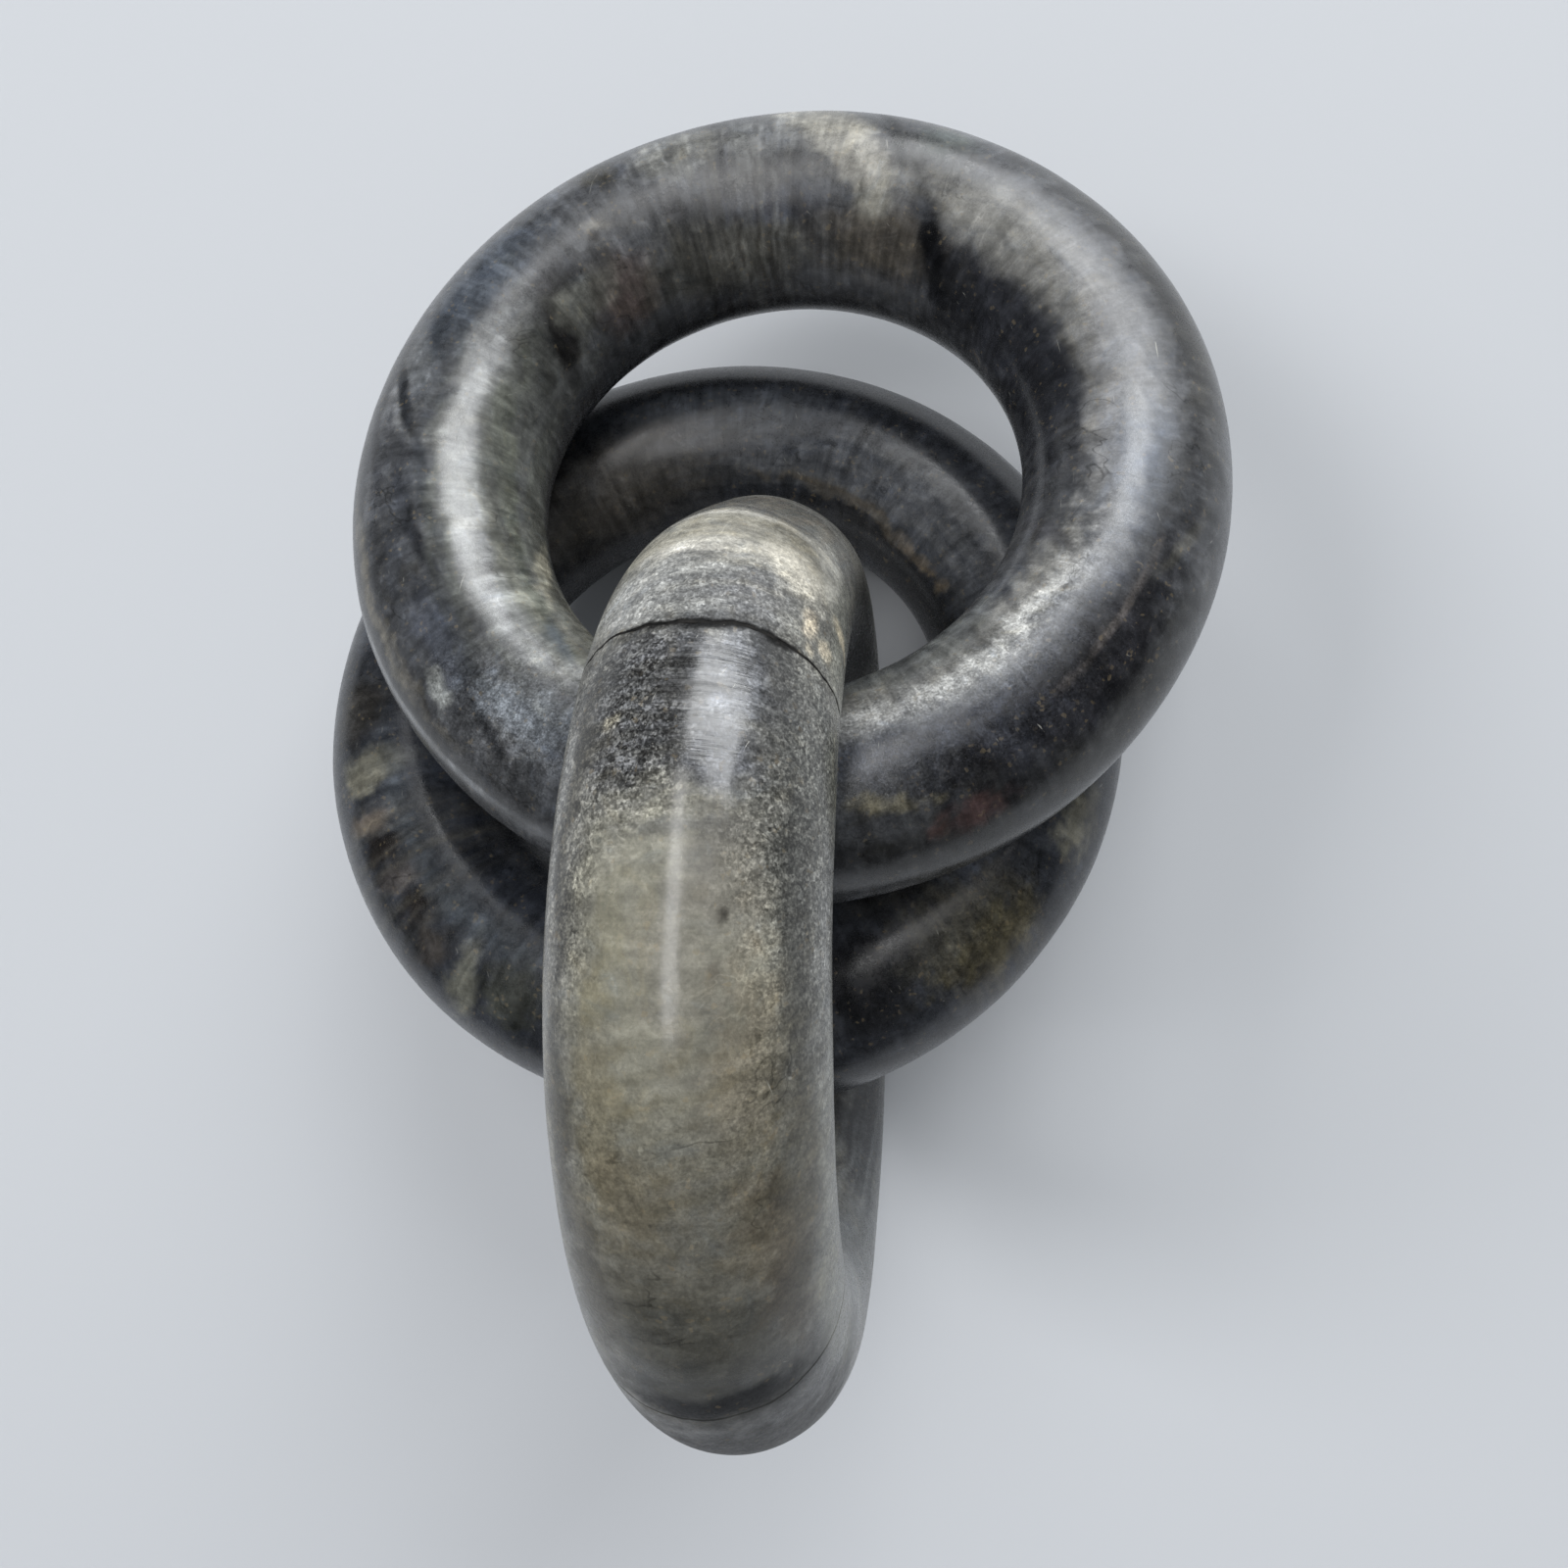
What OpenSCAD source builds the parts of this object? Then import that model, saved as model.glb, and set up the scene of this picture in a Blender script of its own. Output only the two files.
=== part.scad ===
// Three interlinked rings of polished stone: a short decorative chain.
// The middle link stands on edge and the two end links pass through its eye,
// one resting on the other. +Z is up, +X is the middle link's own axis, and
// the origin is on the resting plane under the middle of the whole assembly.

/* [Middle link] */
// Radius of the middle link's centreline, from its axis to the middle of its stone
middle_R = 46.8; // [46.8:0.1:49]
// Radius of the middle link's round section
middle_r = 13.4; // [9:0.1:13.4]
// Angle of the joint behind the top of the middle link, from straight up
rear_joint_angle = 36; // [30:1:55]
// Angle of the joint in front of the top of the middle link, from straight up
front_joint_angle = 41; // [28:1:50]
// Thickness of the adhesive film in each joint, on the centreline
film_t = 0.3; // [0.15:0.05:0.6]
// How far the wiped edge of the film lies below the polished surface
film_recess = 0.15; // [0.05:0.05:0.4]

/* [Upper link] */
// Radius of the upper link's centreline
upper_R = 49.5; // [49.5:0.1:52]
// Radius of the upper link's round section
upper_r = 14.1; // [9:0.1:14.1]
// Tilt of the upper link, its rear edge lower than its front edge
upper_tilt = 16.8; // [16.6:0.1:16.9]
// Sideways lean of the upper link
upper_lean = 1.5; // [1.3:0.1:1.7]
// Upper link's centre, to the right of the middle link's plane
upper_x = -0.7; // [-0.9:0.1:-0.4]
// Upper link's centre, behind the middle link's centre
upper_y = 65.8; // [65.6:0.1:65.9]
// Height of the upper link's centre above the resting plane
upper_z = 50.7; // [50.7:0.1:51.2]

/* [Lower link] */
// Radius of the lower link's centreline
lower_R = 50.9; // [50.4:0.1:51.2]
// Radius of the lower link's round section
lower_r = 14.45; // [9:0.05:14.45]
// Tilt of the lower link, its rear edge on the table and its front edge raised
lower_tilt = 18.6; // [18.5:0.1:18.7]
// Sideways lean of the lower link
lower_lean = 2.5; // [2.3:0.1:2.7]
// Lower link's centre, to the right of the middle link's plane
lower_x = -13.6; // [-14.2:0.1:-13.2]
// Lower link's centre, behind the middle link's centre
lower_y = 34.7; // [34.6:0.1:34.9]

/* [Hidden] */
$fn = 96;

// unit axis of a link after its tilt and lean
function link_axis(tilt, lean) = [cos(tilt) * sin(lean), sin(tilt), cos(tilt) * cos(lean)];
// half extent of a ring along one direction, from the axis component there
function reach(R, r, c) = R * sqrt(1 - c * c) + r;

upper_n = link_axis(upper_tilt, upper_lean);
lower_n = link_axis(lower_tilt, lower_lean);
middle_c = [0, 0, middle_R + middle_r];
upper_c = [upper_x, upper_y, upper_z];
lower_c = [lower_x, lower_y, reach(lower_R, lower_r, lower_n[2])];

// box of the whole assembly, which puts the origin under its middle
x_lo = min(-middle_r, upper_c[0] - reach(upper_R, upper_r, upper_n[0]), lower_c[0] - reach(lower_R, lower_r, lower_n[0]));
x_hi = max(middle_r, upper_c[0] + reach(upper_R, upper_r, upper_n[0]), lower_c[0] + reach(lower_R, lower_r, lower_n[0]));
y_lo = min(-middle_R - middle_r, upper_c[1] - reach(upper_R, upper_r, upper_n[1]), lower_c[1] - reach(lower_R, lower_r, lower_n[1]));
y_hi = max(middle_R + middle_r, upper_c[1] + reach(upper_R, upper_r, upper_n[1]), lower_c[1] + reach(lower_R, lower_r, lower_n[1]));
shift = [-(x_lo + x_hi) / 2, -(y_lo + y_hi) / 2, 0];

// each film takes this angle of the ring, shared between its two neighbours
film_deg = film_t / middle_R * 180 / PI;

// a whole round-section ring about Z
module ring(R, r) {
    rotate_extrude() translate([R, 0]) circle(r);
}

// part of such a ring, starting at angle a0 and running for `sweep`
module ring_arc(R, r, a0, sweep) {
    rotate([0, 0, a0]) rotate_extrude(angle = sweep) translate([R, 0]) circle(r);
}

// stands a ring on edge: its axis becomes X and its zero angle straight up,
// with angles counted towards the rear
module on_edge() {
    translate(shift + middle_c) multmatrix([[0, 0, -1, 0], [0, 1, 0, 0], [1, 0, 0, 0], [0, 0, 0, 1]]) children();
}

// lays a ring at its tilt and lean, at its centre
module laid(c, tilt, lean) {
    translate(shift + c) rotate([-tilt, lean, 0]) children();
}

module upper_link() {
    color("#4a4f55") laid(upper_c, upper_tilt, upper_lean) ring(upper_R, upper_r);
}

module lower_link() {
    color("#3b4046") laid(lower_c, lower_tilt, lower_lean) ring(lower_R, lower_r);
}

// the long arc runs from the rear joint down, under and up to the front joint
module middle_link_long_arc() {
    color("#6b675c") on_edge()
        ring_arc(middle_R, middle_r, rear_joint_angle + film_deg / 2,
                 360 - rear_joint_angle - front_joint_angle - film_deg);
}

// the closing arc is the piece set in last, once the other links are threaded
module middle_link_closing_arc() {
    color("#54565a") on_edge()
        ring_arc(middle_R, middle_r, -front_joint_angle + film_deg / 2,
                 rear_joint_angle + front_joint_angle - film_deg);
}

// a thin disc of set adhesive between two cut faces
module film(a) {
    on_edge() ring_arc(middle_R, middle_r - film_recess, a - film_deg / 2, film_deg);
}

module adhesive_joint_rear() {
    color("#1e2023") film(rear_joint_angle);
}

module adhesive_joint_front() {
    color("#1e2023") film(-front_joint_angle);
}

upper_link();
lower_link();
middle_link_long_arc();
middle_link_closing_arc();
adhesive_joint_rear();
adhesive_joint_front();
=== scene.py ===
import math

import bpy
import numpy as np
from mathutils import Matrix, Vector


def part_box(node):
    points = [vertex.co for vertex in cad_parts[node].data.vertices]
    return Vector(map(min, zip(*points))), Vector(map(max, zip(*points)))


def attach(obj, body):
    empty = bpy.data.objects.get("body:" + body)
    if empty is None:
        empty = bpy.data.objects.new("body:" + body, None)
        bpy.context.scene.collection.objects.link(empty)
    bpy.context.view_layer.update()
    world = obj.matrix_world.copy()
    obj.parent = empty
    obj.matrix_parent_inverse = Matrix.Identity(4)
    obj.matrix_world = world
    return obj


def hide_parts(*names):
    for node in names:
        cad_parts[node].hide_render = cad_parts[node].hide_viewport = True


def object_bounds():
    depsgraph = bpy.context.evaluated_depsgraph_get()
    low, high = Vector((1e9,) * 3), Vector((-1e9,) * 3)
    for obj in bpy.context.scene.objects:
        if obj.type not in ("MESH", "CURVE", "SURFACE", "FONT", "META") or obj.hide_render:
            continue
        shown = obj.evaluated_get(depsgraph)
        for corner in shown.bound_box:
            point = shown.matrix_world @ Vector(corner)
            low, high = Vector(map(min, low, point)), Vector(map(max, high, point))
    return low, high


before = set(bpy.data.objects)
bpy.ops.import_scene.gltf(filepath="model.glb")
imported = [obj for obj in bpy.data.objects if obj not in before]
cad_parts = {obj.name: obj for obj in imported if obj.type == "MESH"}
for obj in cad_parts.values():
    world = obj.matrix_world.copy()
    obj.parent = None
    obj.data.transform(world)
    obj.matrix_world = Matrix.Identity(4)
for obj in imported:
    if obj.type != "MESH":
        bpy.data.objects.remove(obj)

cad_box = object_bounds()
MM = 0.001
scene = bpy.context.scene


# ---------------------------------------------------------------- noise used by the geometry
class Noise3:
    """Seeded gradient noise, about -1 to 1, on arrays of points."""

    def __init__(self, seed):
        rng = np.random.default_rng(seed)
        self.p = rng.permutation(256)
        g = rng.normal(size=(256, 3))
        self.g = g / np.linalg.norm(g, axis=1)[:, None]

    def __call__(self, P):
        P = np.asarray(P, float)
        i = np.floor(P).astype(int)
        f = P - i
        u = f * f * f * (f * (f * 6 - 15) + 10)
        out = np.zeros(P.shape[:-1])
        for dx in (0, 1):
            for dy in (0, 1):
                for dz in (0, 1):
                    h = self.p[(i[..., 0] + dx) & 255]
                    h = self.p[(h + i[..., 1] + dy) & 255]
                    h = self.p[(h + i[..., 2] + dz) & 255]
                    d = self.g[h]
                    dot = (d[..., 0] * (f[..., 0] - dx) + d[..., 1] * (f[..., 1] - dy)
                           + d[..., 2] * (f[..., 2] - dz))
                    w = ((u[..., 0] if dx else 1 - u[..., 0]) * (u[..., 1] if dy else 1 - u[..., 1])
                         * (u[..., 2] if dz else 1 - u[..., 2]))
                    out += w * dot
        return out * 1.6

    def fbm(self, P, octaves=4, gain=0.5):
        s, a, t = 0.0, 1.0, 0.0
        for k in range(octaves):
            s = s + a * self(np.asarray(P) * 2.0 ** k + 17.3 * k)
            t += a
            a *= gain
        return s / t


def smooth(a, b, x):
    t = np.clip((x - a) / (b - a), 0, 1)
    return t * t * (3 - 2 * t)


# ---------------------------------------------------------------- the three rings, as designed
def tilted(tilt, lean):
    t, l = math.radians(tilt), math.radians(lean)
    return (np.array([math.cos(l), 0, -math.sin(l)]),
            np.array([-math.sin(t) * math.sin(l), math.cos(t), -math.sin(t) * math.cos(l)]),
            np.array([math.cos(t) * math.sin(l), math.sin(t), math.cos(t) * math.cos(l)]))


def middle_of(*nodes):
    lo = np.min([np.array(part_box(n)[0]) for n in nodes], axis=0)
    hi = np.max([np.array(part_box(n)[1]) for n in nodes], axis=0)
    return (lo + hi) / 2 / MM, (hi - lo) / MM


RINGS = {}
c, s = middle_of("upper_link")
RINGS["upper"] = (c, *tilted(16.8, 1.5), 49.5, 14.1)
c, s = middle_of("lower_link")
RINGS["lower"] = (c, *tilted(18.6, 2.5), 50.9, 14.45)
c, s = middle_of("middle_link_long_arc", "middle_link_closing_arc")
RINGS["middle"] = (np.array([c[0], c[1], 60.2]), np.array([0, 0, 1.0]), np.array([0, 1.0, 0]),
                   np.array([1.0, 0, 0]), 46.8, 13.4)
REAR_JOINT, FRONT_JOINT = 36.0, -41.0
FILM = 0.3 / 46.8 / 2          # half the film's angle, radians


def surface(ring, ph, th, sink):
    c, a, b, n, R, r = RINGS[ring]
    e = np.cos(ph)[..., None] * a + np.sin(ph)[..., None] * b
    rr = (r - sink)[..., None] if hasattr(sink, "shape") else r - sink
    return c + (R + rr * np.cos(th)[..., None]) * e + rr * np.sin(th)[..., None] * n


def unevenness(ring, ph, th, P, seed):
    """Depth in mm that the hand-worked surface lies inside the true ring."""
    n1, n2 = Noise3(seed), Noise3(seed + 1)
    d = 0.10 + 0.10 * n1(P / 21.0) + 0.035 * n2(P / 7.5)
    if ring == "middle":
        # the rear shoulder is worked flatter than a true ring on its outer side
        da = (np.degrees(ph) - 71 + 180) % 360 - 180
        d = d + 1.9 * np.exp(-(da / 17.0) ** 2) * smooth(math.radians(100), math.radians(20), np.abs((th + math.pi) % (2 * math.pi) - math.pi))
    return np.clip(d, 0.0, None)


def build_mesh(name, verts, faces, local, paint, extra=None):
    me = bpy.data.meshes.new(name)
    me.from_pydata((verts * MM).tolist(), [], faces)
    me.update()
    a = me.attributes.new("stone", "FLOAT_VECTOR", "POINT")
    a.data.foreach_set("vector", local.astype(np.float32).ravel())
    col = me.attributes.new("paint", "FLOAT_COLOR", "POINT")
    col.data.foreach_set("color", paint.astype(np.float32).ravel())
    if extra is not None:
        m = me.attributes.new("marks", "FLOAT_COLOR", "POINT")
        m.data.foreach_set("color", extra.astype(np.float32).ravel())
    me.polygons.foreach_set("use_smooth", [True] * len(me.polygons))
    me.set_sharp_from_angle(angle=math.radians(50))
    ob = bpy.data.objects.new(name, me)
    scene.collection.objects.link(ob)
    return ob


def to_local(ring, P):
    c, a, b, n, R, r = RINGS[ring]
    w = P - c
    return np.stack([w @ a, w @ b, w @ n], -1)


def full_ring(name, ring, nphi, nth, seed, painter):
    ph = np.linspace(0, 2 * math.pi, nphi, endpoint=False)
    th = np.linspace(0, 2 * math.pi, nth, endpoint=False)
    PH, TH = np.meshgrid(ph, th, indexing="ij")
    P0 = surface(ring, PH, TH, 0.0)
    L0 = to_local(ring, P0)
    sink = unevenness(ring, PH, TH, L0, seed)
    P = surface(ring, PH, TH, sink)
    idx = np.arange(nphi * nth).reshape(nphi, nth)
    a, b = idx, np.roll(idx, -1, 0)
    a2, b2 = np.roll(idx, -1, 1), np.roll(np.roll(idx, -1, 0), -1, 1)
    faces = np.stack([a, b, b2, a2], -1).reshape(-1, 4)
    paint, marks = painter(PH, TH, L0)
    return build_mesh(name, P.reshape(-1, 3), faces.tolist(), L0.reshape(-1, 3),
                      paint.reshape(-1, 4), marks.reshape(-1, 4))


def seam_wave(th, which):
    """How far (mm) a joint wanders along the ring, so that it isn't a machine-straight line."""
    n = Noise3(71 + which)
    p = np.stack([np.cos(th) * 1.4, np.sin(th) * 1.4, np.full_like(th, 0.3)], -1)
    q = np.stack([np.cos(th) * 5.5, np.sin(th) * 5.5, np.full_like(th, 4.3)], -1)
    w = np.stack([np.cos(th) * 12.0, np.sin(th) * 12.0, np.full_like(th, 8.3)], -1)
    return 0.32 * n(p) + 0.20 * n(q) + 0.09 * n(w)


def arc_ring(name, ring, ph0, ph1, w0, w1, nphi, nth, seed, painter):
    """Part of a ring from ph0 to ph1 (radians), with rubbed-down edges and closed ends."""
    c, a, b, n, R, r = RINGS[ring]
    th = np.linspace(0, 2 * math.pi, nth, endpoint=False)
    body = np.linspace(0, 1, nphi)
    edge = np.array([0.0, 0.12, 0.26, 0.45, 0.8]) / (R * (ph1 - ph0))
    t = np.concatenate([edge, body[(body > edge[-1] * 1.5) & (body < 1 - edge[-1] * 1.5)], 1 - edge[::-1]])
    T, TH = np.meshgrid(t, th, indexing="ij")
    near0 = np.exp(-(T * R * (ph1 - ph0) / 4.0) ** 2)
    near1 = np.exp(-((1 - T) * R * (ph1 - ph0) / 4.0) ** 2)
    PH = ph0 + T * (ph1 - ph0) + (seam_wave(TH, w0) * near0 + seam_wave(TH, w1) * near1) / R
    P0 = surface(ring, PH, TH, 0.0)
    L0 = to_local(ring, P0)
    sink = unevenness(ring, PH, TH, L0, seed)
    s_end = np.minimum(T, 1 - T) * R * (ph1 - ph0)
    chips = 0.5 + 0.5 * Noise3(seed + 5)(L0 / 1.7)
    rear = (near0 if w0 == 0 else near1) > (near1 if w0 == 0 else near0)
    depth = np.where(rear, 0.10 * smooth(0.5, 0.85, chips), 0.0)
    reach = np.where(rear, 0.16 + 0.26 * smooth(0.5, 0.9, chips), 0.25)
    sink = sink + depth * np.clip(1 - s_end / reach, 0, 1) ** 2
    P = surface(ring, PH, TH, sink)
    m, k = P.shape[:2]
    idx = np.arange(m * k).reshape(m, k)
    a_, b_ = idx[:-1], idx[1:]
    faces = np.stack([a_, b_, np.roll(b_, -1, 1), np.roll(a_, -1, 1)], -1).reshape(-1, 4).tolist()
    verts = [P.reshape(-1, 3)]
    locs = [L0.reshape(-1, 3)]
    paint, marks = painter(ph0 + T * (ph1 - ph0), TH, L0)       # tones follow the joint as it wanders
    paints, markss = [paint.reshape(-1, 4)], [marks.reshape(-1, 4)]
    count = m * k
    for row, flip in ((0, True), (m - 1, False)):
        ring_i = idx[row]
        rim = P[row]
        mid = rim.mean(0)
        prev = ring_i
        for fr in (0.72, 0.36):
            q = mid + (rim - mid) * fr
            verts.append(q)
            locs.append(to_local(ring, q))
            paints.append(paint[row])
            markss.append(marks[row])
            cur = np.arange(count, count + k)
            count += k
            for j in range(k):
                j2 = (j + 1) % k
                f = [int(prev[j]), int(cur[j]), int(cur[j2]), int(prev[j2])]
                faces.append(f[::-1] if not flip else f)
            prev = cur
        verts.append(mid[None])
        locs.append(to_local(ring, mid[None]))
        paints.append(paint[row][:1])
        markss.append(marks[row][:1])
        for j in range(k):
            f = [int(prev[j]), count, int(prev[(j + 1) % k])]
            faces.append(f[::-1] if not flip else f)
        count += 1
    ob = build_mesh(name, np.concatenate(verts), faces, np.concatenate(locs),
                    np.concatenate(paints), np.concatenate(markss))
    return ob


# ---------------------------------------------------------------- tones laid on the stone
# some of these tones are painted highlights and one is a painted reflection; each is noted where it is laid
def lin(r, g, b):
    return np.array([((v / 255 + 0.055) / 1.055) ** 2.4 if v > 10 else v / 255 / 12.92 for v in (r, g, b)])


class Painter:
    """Lays soft patches and streaks on a ring: angle round it and round its section in degrees,
    half sizes in mm along it and round the section, and a turn in degrees."""

    def __init__(self, ring, base, seed, speckle=0.5, gloss=0.5, streak=0.4):
        self.ring, self.base, self.seed, self.ops = ring, lin(*base), seed, []
        self.level = (speckle, gloss, streak)

    def patch(self, ph, th, wph, wth, rgb, k=1.0, turn=0.0, ragged=0.5, edge=0.5, loose=1.0):
        self.ops.append(("patch", ph, th, wph, wth, lin(*rgb), k, turn, ragged, edge, loose))
        return self

    def streaks(self, ph, th, wph, wth, rgb, k=0.7, turn=0.0, period=1.2, share=0.5, loose=0.6):
        self.ops.append(("streaks", ph, th, wph, wth, lin(*rgb), k, turn, period, share, loose))
        return self

    def mark(self, ph, th, wph, wth, channel, value, edge=0.6):
        self.ops.append(("mark", ph, th, wph, wth, channel, value, 0.0, 0.4, edge, 1.0))
        return self

    def __call__(self, PH, TH, L):
        c, a, b, n, R, r = RINGS[self.ring]
        col = np.broadcast_to(self.base, PH.shape + (3,)).copy()
        marks = np.zeros(PH.shape + (4,))
        marks[..., :3], marks[..., 3] = self.level, 1
        nz, nw, ns = Noise3(self.seed), Noise3(self.seed + 1), Noise3(self.seed + 2)
        far_u, near_u = nz.fbm(L / 9.0, 3), nw.fbm(L / 2.6, 3)
        far_v, near_v = nw.fbm(L / 9.0 + 31.0, 3), nz.fbm(L / 2.6 + 11.0, 3)
        rag = nw.fbm(L / 2.4 + 5.0, 5, 0.6)
        for kind, ph, th, wph, wth, rgb, k, turn, x1, x2, loose in self.ops:
            du = (np.degrees(PH) - ph + 180) % 360 - 180
            dv = (np.degrees(TH) - th + 180) % 360 - 180
            rad = R + r * math.cos(math.radians(th))
            u = np.radians(du) * rad + loose * (2.4 * far_u + 1.1 * near_u)
            v = np.radians(dv) * r + loose * (2.4 * far_v + 1.1 * near_v)
            ct, st = math.cos(math.radians(turn)), math.sin(math.radians(turn))
            u, v = u * ct + v * st, -u * st + v * ct
            q = np.sqrt((u / wph) ** 2 + (v / wth) ** 2)
            if kind == "streaks":
                m = smooth(1.35, 0.55, q)
                w = ns.fbm(np.stack([u / (wph * 1.3), v / x1, np.full_like(u, ph * 0.37)], -1), 3)
                m = m * smooth(0.1 - x2 * 0.5, 0.75 - x2 * 0.5, w)
            else:
                m = smooth(1 + x2, 1 - x2, q + x1 * rag)
            if kind == "mark":
                marks[..., rgb] += (k - marks[..., rgb]) * m
                continue
            m = (m * k)[..., None]
            col = col * (1 - m) + rgb * m
        return np.concatenate([np.clip(col, 0.002, 1), np.ones(PH.shape + (1,))], -1), np.clip(marks, 0, 1)


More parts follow.
